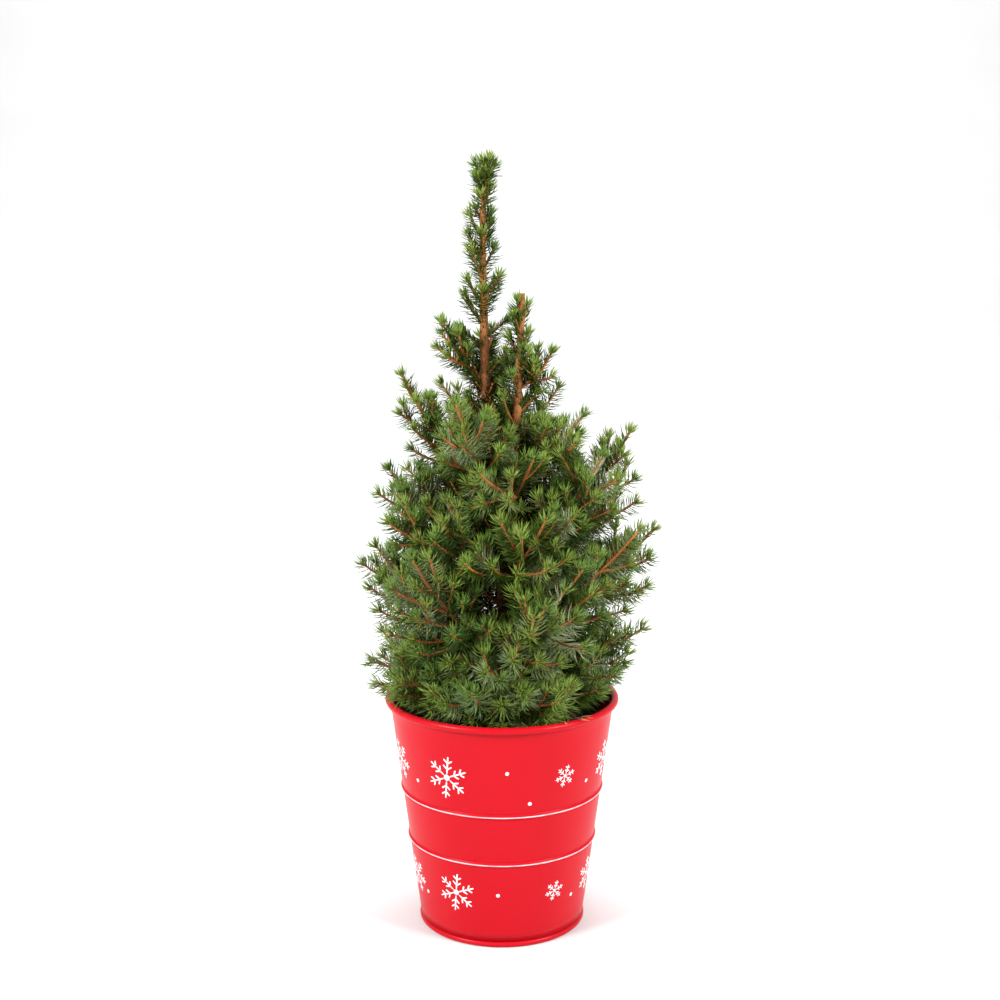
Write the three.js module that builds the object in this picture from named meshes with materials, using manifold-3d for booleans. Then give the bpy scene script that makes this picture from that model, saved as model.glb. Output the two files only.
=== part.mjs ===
// A dwarf Alberta spruce in a small red pressed-tin pot, in millimetres, +Z up.
// The origin is the middle of the pot's flat underside. +X is to the plant's right
// and -Y to its front. Headings are degrees seen from above: 0 right, 90 back, -90 front.
//
// The pot, the compost, the stems, every bough and every mass of foliage are solids of
// their own. Each mass is cut round the stems, the boughs and the masses before it.

import * as THREE from "three";
import { mergeVertices } from "three/addons/utils/BufferGeometryUtils.js";
import Module from "manifold-3d";

const wasm = await Module();
wasm.setup();

// --- pot -------------------------------------------------------------------------

const POT_HEIGHT = 129.4;
const POT_SIDES = 24;
const WALL_FOOT_RADIUS = 45.3;
const WALL_FLARE = 0.132;
const WALL_THICKNESS = 0.8;
const RIM_ROLL_RADIUS = 2;
const RIM_OUTER_RADIUS = 65;
const RIM_ROLL_TURNS = [-100, -30, 40, 110, 175];
const RIM_NECK = 1;
const BEAD_HEIGHTS = [49.4, 77.7];
const BEAD_HALF_HEIGHT = 1.5;
const BEAD_PROUD = 0.9;
const FOOT_ROLL_RADIUS = 46.4;
const FOOT_ROLL_HEIGHT = 3.2;
// The foot roll in section: [how far inside the roll's outer radius, height].
const FOOT_ROLL_SECTION = [[1.4, 0], [0.4, 0.5], [0, 1.6], [0.4, FOOT_ROLL_HEIGHT]];
const FLOOR_THICKNESS = 1;
const FLOOR_EDGE_INSET = 1.2;
const GAP = 0.3;

// --- compost ---------------------------------------------------------------------

const COMPOST_LEVEL = 116;
const COMPOST_UNEVEN = 1.3;
const COMPOST_EDGE_DROP = 3;
const COMPOST_CHAMFER = 2.2;
const STEM_PATCH_RADIUS = 14;
const COMPOST_SEED = 5;
// The waves in the compost: how many run round the pot, and how far they twist per mm outward.
const COMPOST_WAVES = [3, 5];
const COMPOST_WAVE_TWIST = 0.2;
// The top of the compost between its edge and the stem: [share of the edge radius, drop].
const COMPOST_SHOULDERS = [[0.72, 1], [0.44, 0.3]];

// --- stems: each route is [height, across, back] ------------------------------------

const TRUNK_ROUTE = [
  [116.3, 0, 0],
  [135, 0, 0],
  [175, 1.5, 1],
  [215, 1.8, 1.5],
  [245, -1.5, 1.5],
  [275, -6.5, 1],
  [305, -9, 0],
  [345, -9.8, 0],
  [385, -10.4, 0],
  [417, -8, 0],
];
const SECOND_ROUTE = [
  [230, 0.6, 1.2],
  [246, 3.4, -1.2],
  [268, 6.6, -4.5],
  [300, 8.8, -6.5],
  [350, 10.5, -7],
];
const TRUNK_TIP_RADIUS = 1.2;
const TRUNK_TAPER = 4;
const FLARE_EXTRA = 3;
const FLARE_SHARE = 0.035;
const TRUNK_STEPS = 13;
const TRUNK_SIDES = 8;
const SECOND_FOOT_RADIUS = 3;
const SECOND_TOP_RADIUS = 1.6;
const SECOND_STEPS = 6;
const SECOND_SIDES = 6;

// --- boughs and foliage ------------------------------------------------------------

const BOUGH_RADIUS = 1.5;
const BOUGH_TAPER = 0.7;
const BOUGH_END = 0.36;
const CROWN_BOUGH_END = 0.3;
const CROWN_BOUGH_SIZE = 0.8;
const BOUGH_STEPS = 2;
const BOUGH_SIDES = 4;
const BOUGH_LIFT = 0.14;
const FORK_LIFT = 0.1;
const MASS_START = 0.2;
const FORK_START = 0.32;
const SIDE_SPREAD = 24;
const SIDE_SPREAD_SHARE = [0.8, 1.2];
const SIDE_REACH_SHARE = [0.93, 1.03];
const SIDE_DROP = [8, 22];
const SIDE_SEED = 40;
const FORK_FULLNESS = 0.88;
const GIRTH = { crown: 14, upper: 18.5, middle: 21.5, lower: 23, foot: 20 };

const LOBE_STEPS = 4;
const LOBE_SIDES = 6;
const FORK_STEPS = 3;
const FORK_SIDES = 5;
const LOBE_SHOULDER = 0.8;
const LOBE_ROUNDNESS = 0.55;
const LOBE_UNEVEN = 0.22;
const LOBE_FLAT = 0.13;
const LOBE_THREE_WAY = 0.09;
const LOBE_TWIST = [5, 10];
const LOBE_SEEDS = 10;

// Each bough leaves its stem at height `from`. It ends at `tip`, and each fork is one more
// tip of the same mass: [heading, reach from the pot's axis, height]. Boughs marked `second`
// leave the second leader.
const BOUGHS = [
  { name: "crown_left", from: 302, tip: [-175, 35, 339], forks: [[-162, 39, 320]] },
  { name: "crown_right", from: 298, second: true, tip: [-6, 30, 323], forks: [[-24, 33, 300]] },
  { name: "crown_back", from: 292, tip: [106, 34, 331], forks: [[72, 33, 318]] },

  { name: "upper_left", from: 236, tip: [176, 57, 310], forks: [[-163, 50, 297]] },
  { name: "upper_front_left", from: 244, tip: [-121, 49, 299], forks: [[-102, 40, 290]] },
  { name: "upper_front", from: 232, tip: [-69, 49, 270], forks: [[-104, 57, 263]] },
  {
    name: "upper_right",
    from: 250,
    second: true,
    tip: [-8, 48, 289],
    forks: [[-20, 47, 281], [-43, 56, 275]],
  },
  { name: "upper_back", from: 243, tip: [90, 50, 304], forks: [[46, 50, 300], [136, 52, 302]] },

  { name: "middle_left", from: 200, tip: [170, 67, 257], forks: [[-177, 71, 244]] },
  {
    name: "middle_front_left",
    from: 196,
    tip: [-147, 64, 246],
    forks: [[-151, 73, 234], [-124, 68, 228]],
  },
  {
    name: "middle_front",
    from: 192,
    tip: [-81, 63, 231],
    forks: [[-66, 60, 240], [-108, 67, 216]],
  },
  {
    name: "middle_front_right",
    from: 204,
    tip: [-29, 64, 271],
    forks: [[-27, 72, 256], [-54, 67, 240]],
  },
  { name: "middle_right", from: 198, tip: [5, 73, 279], forks: [[-7, 63, 269], [-9, 77, 241]] },
  { name: "middle_back_right", from: 208, tip: [54, 68, 264] },
  { name: "middle_back_left", from: 206, tip: [118, 70, 262] },

  { name: "lower_left", from: 158, tip: [-176, 80, 206], forks: [[-162, 73, 189], [172, 74, 214]] },
  {
    name: "lower_front_left",
    from: 154,
    tip: [-133, 71, 219],
    forks: [[-112, 72, 180], [-146, 74, 200], [-130, 72, 166]],
  },
  {
    name: "lower_front",
    from: 150,
    tip: [-80, 73, 172],
    forks: [[-71, 72, 197], [-98, 70, 160]],
  },
  {
    name: "lower_front_right",
    from: 160,
    tip: [-52, 72, 215],
    forks: [[-44, 73, 198], [-20, 81, 230], [-52, 74, 170]],
  },
  { name: "lower_right", from: 164, tip: [-4, 86, 226], forks: [[-13, 85, 211], [-7, 84, 193]] },
  { name: "lower_back_right", from: 166, tip: [48, 80, 222] },
  { name: "lower_back_left", from: 160, tip: [130, 80, 218] },

  { name: "foot_left", from: 136, tip: [-165, 78, 154], forks: [[-145, 72, 146], [160, 76, 160]] },
  { name: "foot_front", from: 128, tip: [-90, 67, 143], forks: [[-118, 68, 141], [-62, 68, 142]] },
  { name: "foot_right", from: 139, tip: [0, 82, 168], forks: [[-32, 75, 150], [22, 76, 152]] },
  {
    name: "foot_back",
    from: 132,
    tip: [86, 75, 154],
    forks: [[50, 76, 156], [122, 77, 152], [68, 74, 182]],
  },
];

// Foliage close round a stem: `from` and `to` are heights and girth is its half width.
const SPIRES = [
  { name: "leader_tip", from: 368, to: 424, girth: 10 },
  { name: "leader_middle", from: 308, to: 386, girth: 14 },
  { name: "second_leader", from: 280, to: 345, girth: 13, second: true },
];
const SPIRE_STEPS = 4;
const SPIRE_SIDES = 6;
const SPIRE_SEED = 500;
const LEADER_TOP = 416;
const RIM_CLEAR = 6;
const COMPOST_CLEAR = 2;
const SPARE = 0.6;
const SMOOTHING = 0.15;

// --- colours ---------------------------------------------------------------------

const RED_PAINT = new THREE.MeshStandardMaterial({ color: 0xe8202e, roughness: 0.3, metalness: 0.1 });
const COMPOST_BROWN = new THREE.MeshStandardMaterial({ color: 0x1c130d, roughness: 1 });
const TAN_BARK = new THREE.MeshStandardMaterial({ color: 0x8a5a35, roughness: 0.9 });
const TWIG_BARK = new THREE.MeshStandardMaterial({ color: 0xa0612f, roughness: 0.85 });
const NEEDLE_GREEN = new THREE.MeshStandardMaterial({ color: 0x3f6a34, roughness: 0.75 });

// --- helpers ---------------------------------------------------------------------

const MAX_PHASE = 6;
const HALVINGS = 30;
const STRETCH_PIECES = 6;
const WELD = 0.001;

// A steady stream of numbers from 0 to 1.
function seeded(seed) {
  let state = seed * 2654435761;
  return () => {
    state = (state + 0x6d2b79f5) | 0;
    let mixed = Math.imul(state ^ (state >>> 15), 1 | state);
    mixed = (mixed + Math.imul(mixed ^ (mixed >>> 7), 61 | mixed)) ^ mixed;
    return ((mixed ^ (mixed >>> 14)) >>> 0) / 4294967296;
  };
}

function between([low, high], random) {
  return low + (high - low) * random();
}

function place([heading, reach, height]) {
  const turn = THREE.MathUtils.degToRad(heading);
  return new THREE.Vector3(reach * Math.cos(turn), reach * Math.sin(turn), height);
}

function route(points) {
  const spots = points.map(([up, across, back]) => new THREE.Vector3(across, back, up));
  return new THREE.CatmullRomCurve3(spots);
}

// The point of a rising curve at one height.
function pointAtHeight(curve, height) {
  let low = 0;
  let high = 1;
  for (let round = 0; round < HALVINGS; round += 1) {
    const middle = (low + high) / 2;
    if (curve.getPointAt(middle).z < height) {
      low = middle;
    } else {
      high = middle;
    }
  }
  return curve.getPointAt(low);
}

// The stretch of a curve between two shares of its length.
function stretch(curve, from, to) {
  const points = [];
  for (let i = 0; i <= STRETCH_PIECES; i += 1) {
    points.push(curve.getPointAt(THREE.MathUtils.lerp(from, to, i / STRETCH_PIECES)));
  }
  return new THREE.CatmullRomCurve3(points);
}

// Stands a lathe, whose height runs from 0 to 1 in even steps, along a curve. `extra`
// lengthens both ends, and `widen` scales the radius by angle and step.
function bend(lathe, curve, steps, extra = 0, widen = () => 1) {
  const frames = curve.computeFrenetFrames(steps);
  const position = lathe.attributes.position;
  const spot = new THREE.Vector3();
  for (let i = 0; i < position.count; i += 1) {
    const step = Math.round(position.getY(i) * steps);
    const angle = Math.atan2(position.getZ(i), position.getX(i));
    const scale = widen(angle, step / steps);
    curve.getPointAt(step / steps, spot);
    spot.addScaledVector(frames.normals[step], position.getX(i) * scale);
    spot.addScaledVector(frames.binormals[step], -position.getZ(i) * scale);
    if (step === 0) {
      spot.addScaledVector(frames.tangents[step], -extra);
    } else if (step === steps) {
      spot.addScaledVector(frames.tangents[step], extra);
    }
    position.setXYZ(i, spot.x, spot.y, spot.z);
  }
  return lathe;
}

function solid(geometry) {
  const bare = geometry.clone();
  bare.deleteAttribute("normal");
  bare.deleteAttribute("uv");
  const merged = mergeVertices(bare, WELD);
  const corners = merged.index.array;
  const kept = [];
  for (let i = 0; i < corners.length; i += 3) {
    const [a, b, c] = [corners[i], corners[i + 1], corners[i + 2]];
    if (a !== b && b !== c && a !== c) {
      kept.push(a, b, c);
    }
  }
  const vertProperties = new Float32Array(merged.attributes.position.array);
  const triVerts = new Uint32Array(kept);
  const mesh = new wasm.Mesh({ numProp: 3, vertProperties, triVerts });
  mesh.merge();
  return new wasm.Manifold(mesh);
}

function largest(body) {
  return body.decompose().reduce((best, piece) => (piece.volume() > best.volume() ? piece : best));
}

function geometryOf(body) {
  const mesh = body.getMesh();
  const geometry = new THREE.BufferGeometry();
  geometry.setAttribute("position", new THREE.BufferAttribute(mesh.vertProperties, 3));
  geometry.setIndex(new THREE.BufferAttribute(mesh.triVerts, 1));
  geometry.computeVertexNormals();
  return geometry;
}

function part(name, body, material) {
  const mesh = new THREE.Mesh(geometryOf(body), material);
  mesh.name = name;
  return mesh;
}

// --- pot and compost ---------------------------------------------------------------

function wallRadius(height) {
  return WALL_FOOT_RADIUS + WALL_FLARE * height;
}

function turned(points) {
  return new THREE.LatheGeometry(points.map(([r, z]) => new THREE.Vector2(r, z)), POT_SIDES);
}

// A lathe turns about Y, so it is stood up along Z.
function stood(points) {
  return solid(turned(points).rotateX(Math.PI / 2));
}

function beadedLine(inset) {
  const line = [];
  for (const height of BEAD_HEIGHTS) {
    line.push([wallRadius(height) - inset, height - BEAD_HALF_HEIGHT]);
    line.push([wallRadius(height) - inset + BEAD_PROUD, height]);
    line.push([wallRadius(height) - inset, height + BEAD_HALF_HEIGHT]);
  }
  return line;
}

function makePotBody() {
  const foot = FOOT_ROLL_HEIGHT + GAP;
  const rollHeight = POT_HEIGHT - RIM_ROLL_RADIUS;
  const rollMiddle = RIM_OUTER_RADIUS - RIM_ROLL_RADIUS;
  const shoulder = rollHeight - RIM_ROLL_RADIUS - RIM_NECK;
  const outside = [[wallRadius(foot), foot], ...beadedLine(0), [wallRadius(shoulder), shoulder]];
  const roll = [];
  for (const turn of RIM_ROLL_TURNS) {
    const angle = THREE.MathUtils.degToRad(turn);
    const radius = rollMiddle + RIM_ROLL_RADIUS * Math.cos(angle);
    roll.push([radius, rollHeight + RIM_ROLL_RADIUS * Math.sin(angle)]);
  }
  const inside = [[wallRadius(foot) - WALL_THICKNESS, foot], ...beadedLine(WALL_THICKNESS)];
  inside.push([wallRadius(shoulder) - WALL_THICKNESS, shoulder]);
  const profile = [...outside, ...roll, ...inside.reverse()];
  return stood([...profile, profile[0]]);
}

function makePotBase() {
  const seat = wallRadius(FOOT_ROLL_HEIGHT) - WALL_THICKNESS;
  const roll = FOOT_ROLL_SECTION.map(([inset, height]) => [FOOT_ROLL_RADIUS - inset, height]);
  return stood([
    [0, 0],
    ...roll,
    [seat - GAP, FOOT_ROLL_HEIGHT],
    [seat - FLOOR_EDGE_INSET, FLOOR_THICKNESS],
    [0, FLOOR_THICKNESS],
  ]);
}

function makeCompost() {
  const random = seeded(COMPOST_SEED);
  const phases = [random() * MAX_PHASE, random() * MAX_PHASE];
  const bottom = FLOOR_THICKNESS + GAP;
  const low = FOOT_ROLL_HEIGHT + 1;
  const edge = COMPOST_LEVEL - COMPOST_EDGE_DROP;
  const inner = (height) => wallRadius(height) - WALL_THICKNESS - 2 * GAP;
  const shoulders = COMPOST_SHOULDERS.map(([share, drop]) => [
    inner(edge) * share,
    COMPOST_LEVEL - drop,
  ]);
  const shape = turned([
    [0, bottom],
    [inner(low) - COMPOST_CHAMFER, bottom],
    [inner(low), low],
    [inner(edge), edge],
    ...shoulders,
    [STEM_PATCH_RADIUS, COMPOST_LEVEL],
    [0, COMPOST_LEVEL],
  ]);
  const position = shape.attributes.position;
  for (let i = 0; i < position.count; i += 1) {
    const angle = Math.atan2(position.getZ(i), position.getX(i));
    const reach = Math.hypot(position.getX(i), position.getZ(i));
    const loose = reach > STEM_PATCH_RADIUS + 1 && position.getY(i) > edge - 1;
    const first = Math.sin(COMPOST_WAVES[0] * angle + phases[0]);
    const twisted = COMPOST_WAVES[1] * angle + phases[1] + reach * COMPOST_WAVE_TWIST;
    const wave = first + Math.sin(twisted);
    if (loose) {
      position.setY(i, position.getY(i) + (COMPOST_UNEVEN * (wave - 1)) / 2);
    }
  }
  return solid(shape.rotateX(Math.PI / 2));
}

// --- limbs -------------------------------------------------------------------------

// A round limb along a curve, flat at both ends, `extra` fatter and longer for a cut.
function limb(curve, radiusAt, steps, sides, extra = 0) {
  const profile = [new THREE.Vector2(0, 0)];
  for (let i = 0; i <= steps; i += 1) {
    profile.push(new THREE.Vector2(radiusAt(i / steps) + extra, i / steps));
  }
  profile.push(new THREE.Vector2(0, 1));
  return solid(bend(new THREE.LatheGeometry(profile, sides), curve, steps, extra));
}

function trunkRadius(along) {
  const flare = FLARE_EXTRA * Math.exp(-along / FLARE_SHARE);
  return TRUNK_TIP_RADIUS + TRUNK_TAPER * (1 - along) + flare;
}

function secondRadius(along) {
  return SECOND_FOOT_RADIUS + (SECOND_TOP_RADIUS - SECOND_FOOT_RADIUS) * along;
}

const trunkCurve = route(TRUNK_ROUTE);
const secondCurve = route(SECOND_ROUTE);
const trunkFoot = TRUNK_ROUTE[0][0];

function makeTrunk(extra) {
  return limb(trunkCurve, trunkRadius, TRUNK_STEPS, TRUNK_SIDES, extra);
}

function makeSecond(extra) {
  return limb(secondCurve, secondRadius, SECOND_STEPS, SECOND_SIDES, extra);
}

function tierOf(bough) {
  return bough.name.split("_")[0];
}

// A bough sets off outward and turns up towards its tip.
function risingCurve(start, end, lift) {
  const bow = new THREE.Vector3().lerpVectors(start, end, 0.5);
  bow.x += (end.x - start.x) * lift;
  bow.y += (end.y - start.y) * lift;
  bow.z -= (end.z - start.z) * lift;
  return new THREE.QuadraticBezierCurve3(start, bow, end);
}

function boughCurve(bough) {
  const stem = bough.second ? secondCurve : trunkCurve;
  return risingCurve(pointAtHeight(stem, bough.from), place(bough.tip), BOUGH_LIFT);
}

function makeBough(bough, extra) {
  const crown = tierOf(bough) === "crown";
  const end = crown ? CROWN_BOUGH_END : BOUGH_END;
  const size = crown ? CROWN_BOUGH_SIZE : 1;
  const radiusAt = (along) => size * (BOUGH_RADIUS - BOUGH_TAPER * along);
  return limb(stretch(boughCurve(bough), 0, end), radiusAt, BOUGH_STEPS, BOUGH_SIDES, extra);
}

// --- masses of foliage ---------------------------------------------------------------

// An uneven spindle along a curve: full through its middle and round at its tip.
function lobe(curve, girth, seed, extra, sides = LOBE_SIDES, steps = LOBE_STEPS) {
  const random = seeded(seed);
  const phase = random() * MAX_PHASE;
  const twist = between(LOBE_TWIST, random);
  const profile = [new THREE.Vector2(0, 0)];
  for (let i = 1; i < steps; i += 1) {
    const full = Math.sin(Math.PI * (i / steps) ** LOBE_SHOULDER) ** LOBE_ROUNDNESS;
    const radius = girth * full * (1 - LOBE_UNEVEN * (0.5 - random()));
    profile.push(new THREE.Vector2(radius + extra, i / steps));
  }
  profile.push(new THREE.Vector2(0, 1));
  const widen = (angle, along) => {
    const flat = LOBE_FLAT * Math.sin(2 * angle + phase + twist * along);
    return 1 + flat + LOBE_THREE_WAY * Math.sin(3 * angle - phase);
  };
  return solid(bend(new THREE.LatheGeometry(profile, sides), curve, steps, extra, widen));
}

// Where a bough names no forks, two side shoots spread from it by this rule.
function forksOf(bough, seed) {
  if (bough.forks) {
    return bough.forks;
  }
  const random = seeded(seed);
  const [heading, reach, height] = bough.tip;
  return [-1, 1].map((side) => [
    heading + side * SIDE_SPREAD * between(SIDE_SPREAD_SHARE, random),
    reach * between(SIDE_REACH_SHARE, random),
    height - between(SIDE_DROP, random),
  ]);
}

function makeMass(bough, index, extra) {
  const curve = boughCurve(bough);
  const girth = GIRTH[tierOf(bough)];
  const fork = curve.getPointAt(FORK_START);
  const seed = LOBE_SEEDS * index + 1;
  let body = lobe(stretch(curve, MASS_START, 1), girth, seed, extra);
  forksOf(bough, index + SIDE_SEED).forEach((tip, side) => {
    const branch = risingCurve(fork, place(tip), FORK_LIFT);
    const half = girth * FORK_FULLNESS;
    body = body.add(lobe(branch, half, seed + 1 + side, extra, FORK_SIDES, FORK_STEPS));
  });
  return body;
}

function makeSpire(spire, index, extra) {
  const stem = spire.second ? secondCurve : trunkCurve;
  const top = Math.min(spire.to, LEADER_TOP);
  const low = pointAtHeight(stem, spire.from);
  const middle = pointAtHeight(stem, (spire.from + top) / 2);
  const high = pointAtHeight(stem, top);
  high.z = spire.to;
  const curve = new THREE.CatmullRomCurve3([low, middle, high]);
  return lobe(curve, spire.girth, SPIRE_SEED + index, extra, SPIRE_SIDES, SPIRE_STEPS);
}

// --- assembly --------------------------------------------------------------------

const group = new THREE.Group();
const potBody = makePotBody();
const trunk = makeTrunk(0).trimByPlane([0, 0, 1], trunkFoot);
const second = largest(makeSecond(0).subtract(makeTrunk(GAP)));
group.add(part("pot_body", potBody, RED_PAINT));
group.add(part("pot_base", makePotBase(), RED_PAINT));
group.add(part("compost", makeCompost(), COMPOST_BROWN));
group.add(part("trunk", trunk, TAN_BARK));
group.add(part("second_leader", second, TAN_BARK));

let taken = makeTrunk(GAP).add(makeSecond(GAP));
for (const bough of BOUGHS) {
  const body = largest(makeBough(bough, 0).subtract(taken));
  taken = taken.add(makeBough(bough, GAP));
  group.add(part(`${bough.name}_bough`, body, TWIG_BARK));
}

// Foliage is kept clear of the rim, and of the pot's inside up to just over the compost.
taken = taken.add(stood([
  [0, 0],
  [RIM_OUTER_RADIUS + SPARE, 0],
  [RIM_OUTER_RADIUS + SPARE, POT_HEIGHT + SPARE],
  [RIM_OUTER_RADIUS - RIM_CLEAR, POT_HEIGHT + SPARE],
  [RIM_OUTER_RADIUS - RIM_CLEAR, COMPOST_LEVEL + COMPOST_CLEAR],
  [0, COMPOST_LEVEL + COMPOST_CLEAR],
]));

function addMass(name, make) {
  const body = largest(make(0).subtract(taken)).simplify(SMOOTHING);
  taken = taken.add(make(SPARE));
  group.add(part(name, body, NEEDLE_GREEN));
}

SPIRES.forEach((spire, index) => {
  addMass(`${spire.name}_foliage`, (extra) => makeSpire(spire, index, extra));
});
BOUGHS.forEach((bough, index) => {
  addMass(`${bough.name}_foliage`, (extra) => makeMass(bough, index, extra));
});

export default group;
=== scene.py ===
"""The looks of a dwarf Alberta spruce in a red pressed-tin pot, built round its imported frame.

The plant grows by one seeded rule. Each bough of the frame is carried on through its mass
of foliage to every tip of that mass. Side shoots leave it in a spiral, bend upward and stop
where the masses end, so the crown keeps the frame's outline and gaps. Needles, buds and
twigs are then laid on every shoot and joined by kind.
"""

import math

import bpy
import numpy as np
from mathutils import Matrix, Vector
from mathutils.bvhtree import BVHTree


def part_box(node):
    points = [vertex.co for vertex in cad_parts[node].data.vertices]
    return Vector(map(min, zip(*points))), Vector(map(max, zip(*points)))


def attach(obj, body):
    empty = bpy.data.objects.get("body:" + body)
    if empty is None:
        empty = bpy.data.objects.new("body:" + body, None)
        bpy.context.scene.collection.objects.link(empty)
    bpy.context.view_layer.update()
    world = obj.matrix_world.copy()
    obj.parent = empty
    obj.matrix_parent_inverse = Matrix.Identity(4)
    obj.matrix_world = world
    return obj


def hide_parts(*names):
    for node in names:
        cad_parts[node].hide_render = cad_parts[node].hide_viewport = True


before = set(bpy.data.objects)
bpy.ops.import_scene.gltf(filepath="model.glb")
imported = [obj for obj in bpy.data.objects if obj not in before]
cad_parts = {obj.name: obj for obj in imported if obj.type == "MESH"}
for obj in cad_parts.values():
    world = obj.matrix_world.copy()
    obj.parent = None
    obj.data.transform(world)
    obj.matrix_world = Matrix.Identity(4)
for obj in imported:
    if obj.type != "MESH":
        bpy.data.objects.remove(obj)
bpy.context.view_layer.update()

MM = 0.001
SEED = 7
GOLDEN = math.radians(137.508)
UP = np.array([0.0, 0.0, 1.0])

# Shoots, in millimetres.
NEEDLE_LENGTH = 10.6
NEEDLE_WIDTH = 0.78
NEEDLES_PER_MM = 2.4
PARTING = 1.0
NEEDLE_REACH = 4.0
# How needles lean, and close toward a shoot's last stretch, in degrees and millimetres.
NEEDLE_LEAN, TIP_CLOSING, LEAN_SCATTER = 57, 30, 8
TIP_STRETCH = 6
NEEDLE_CLEAR = 0.4
# Needle length and hook against height, in metres.
GROWN_BY_HEIGHT = ((0.17, 0.31), (1.04, 0.8))
HOOK_BY_HEIGHT = ((0.16, 0.26), (0.17, 0.08))
STAR_NEEDLES = 15
TIP_INSET = 5.0
TIP_SPACING = 15.5
TIPS_PER_MASS = 12
FORK_ANGLE = 30.0
FORK_SHARE = 0.82
LEAST_RISE = -0.3
CLIMB_OUT = 0.55
FACE_ON = 0.72
SIDE_SPACING = 9.5
SIDE_LONGEST = 30.0
SIDE_SHORTEST = 13.0
AXIS_RADIUS = 1.2
TWIG_RADIUS = 0.9
TWIG_TIP_RADIUS = 0.5
BENDS = 7
WANDER = 0.05
ROOM_STEP = 1.5
CROWN_SLACK = 2.5
GAP_REACH = 30.0
SKIRT_TOP = 26.0
DEEP = 13.0
CORE_FOOT, CORE_TOP, CORE_TIP = 134.0, 300, 318
BACK_FILL_TOP = 235
# Rings of low shoots: how many, where they leave the trunk, then reach and height of each ring.
SKIRT_SHOOTS = 32
SKIRT_START = (121, 134)
SKIRT_RINGS = (((46, 56), (128, 138)), ((60, 70), (136, 150)))
# Runs of sprigs: low, high, spacing, longest, shortest. Then each leader's own needles.
TRUNK_SPRIGS = ((292, 412, 6.0, 23, 9), (402, 415, 3.2, 10, 7))
SECOND_SPRIGS = (258, 336, 5.4, 20, 12)
TRUNK_NEEDLES = (318, 430)
SECOND_NEEDLES = (285, 339)
LEADER_DENSITY = 0.4
SPRIG_DENSITY = 1.6
SPRIG_SPREAD = (1, 0.55, 1)
NEEDLE_BATCH = 22000
SECOND_LEADER_BOUGHS = ("crown_right_bough", "upper_right_bough")
TIER_SIZE = {"crown": 0.62, "upper": 0.85, "middle": 1.0, "lower": 1.0, "foot": 0.85}

# Where the greens and barks change, in metres.
LOW_CROWN = 0.275
CROWN_SIDE = 0.048
CROWN_TOP = 0.3
BARK_BREAK = 0.302

# Bark and dry litter, in millimetres.
TRUNK_SIDES = 28
SECOND_SIDES = 22
BOUGH_SIDES = 12
FALLEN_NEEDLES = 90
RIM_NEEDLES = 7
CRUMBS = 700
CRUMB_SIZES = (0.5, 1.6)
BED_RADIUS = 56

# Pot, in millimetres, measured up from the flat underside.
POT_SEGMENTS = 192
BEADS = (49.4, 77.7)
BEAD_PROUD = 0.9
BEAD_HALF = 1.5
SHEET = 0.5
PRINT_THICKNESS = 0.12
HUB_SHARE = 0.075
DOT_RADIUS = 1.05
UPPER_BAND = 98.0
LOWER_BAND = 30.5
# Round the wall: (heading, size, tilt) of each star and (heading, rise) of each dot.
FLAKES = (
    *((-70, 21, 20), (-30, 23.5, -8), (35, 12, -14), (71, 21, 5)),
    *((112, 12, 25), (150, 23, -22), (195, 12, 8), (240, 23, 15)),
)
UPPER_DOTS = ((2.6, 5), (15, -13), (52, -7), (-52, -7), (92, 3), (131, -8), (172, -11), (217, 2))
LOWER_DOTS = ((-2.5, 1), (51, -7), (-56.6, -7), (92, 2), (133, -8), (172, 1), (217, -8))

# Camera and light, in metres.
CAMERA_BACK = 0.82
CAMERA_UP = 0.3774
CAMERA_ASIDE = -0.00107
CAMERA_PITCH = 9.66
LENS = 55.03
SKY_STRENGTH = 0.6
# Each light: name, place, target, size, power.
LIGHTS = (
    ("left_light", (-1.2, -0.85, 1.0), (0, 0, 0.2), 0.5, 35),
    ("right_light", (1.25, -0.75, 0.9), (0, 0, 0.17), 0.5, 29),
    ("top_light", (0.1, 0.2, 1.8), (0, 0, 0.2), 0.6, 12),
    ("backdrop_light", (0, 1.2, 2.6), (0, 3.4, 0.8), 2.0, 80),
)


# --- small tools ---


def unit(v):
    return v / np.maximum(np.linalg.norm(v, axis=-1, keepdims=True), 1e-9)


def across(direction):
    """Two directions square to this one and to each other."""
    aside = unit(np.cross(direction, UP + np.array([0.31, 0.17, 0.0])))
    return aside, np.cross(direction, aside)


def dice(number):
    """One of the plant's own streams of chance, the same each time."""
    return np.random.default_rng(SEED + number)


def round_turns(count):
    return np.linspace(0, 2 * math.pi, count, endpoint=False)


def compass(turn):
    return np.array([math.cos(turn), math.sin(turn), 0.0])


def placed(name, data):
    """A new object standing in the scene."""
    thing = bpy.data.objects.new(name, data)
    bpy.context.scene.collection.objects.link(thing)
    return thing


def run_along(line):
    """How far along a line each of its points lies."""
    return np.concatenate([[0], np.cumsum(np.linalg.norm(np.diff(line, axis=0), axis=1))])


def point_along(line, along, run):
    """The place on a line, or the places, where a measure of it reaches a value."""
    return np.stack([np.interp(run, along, line[:, k]) for k in range(3)], axis=-1)


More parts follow.
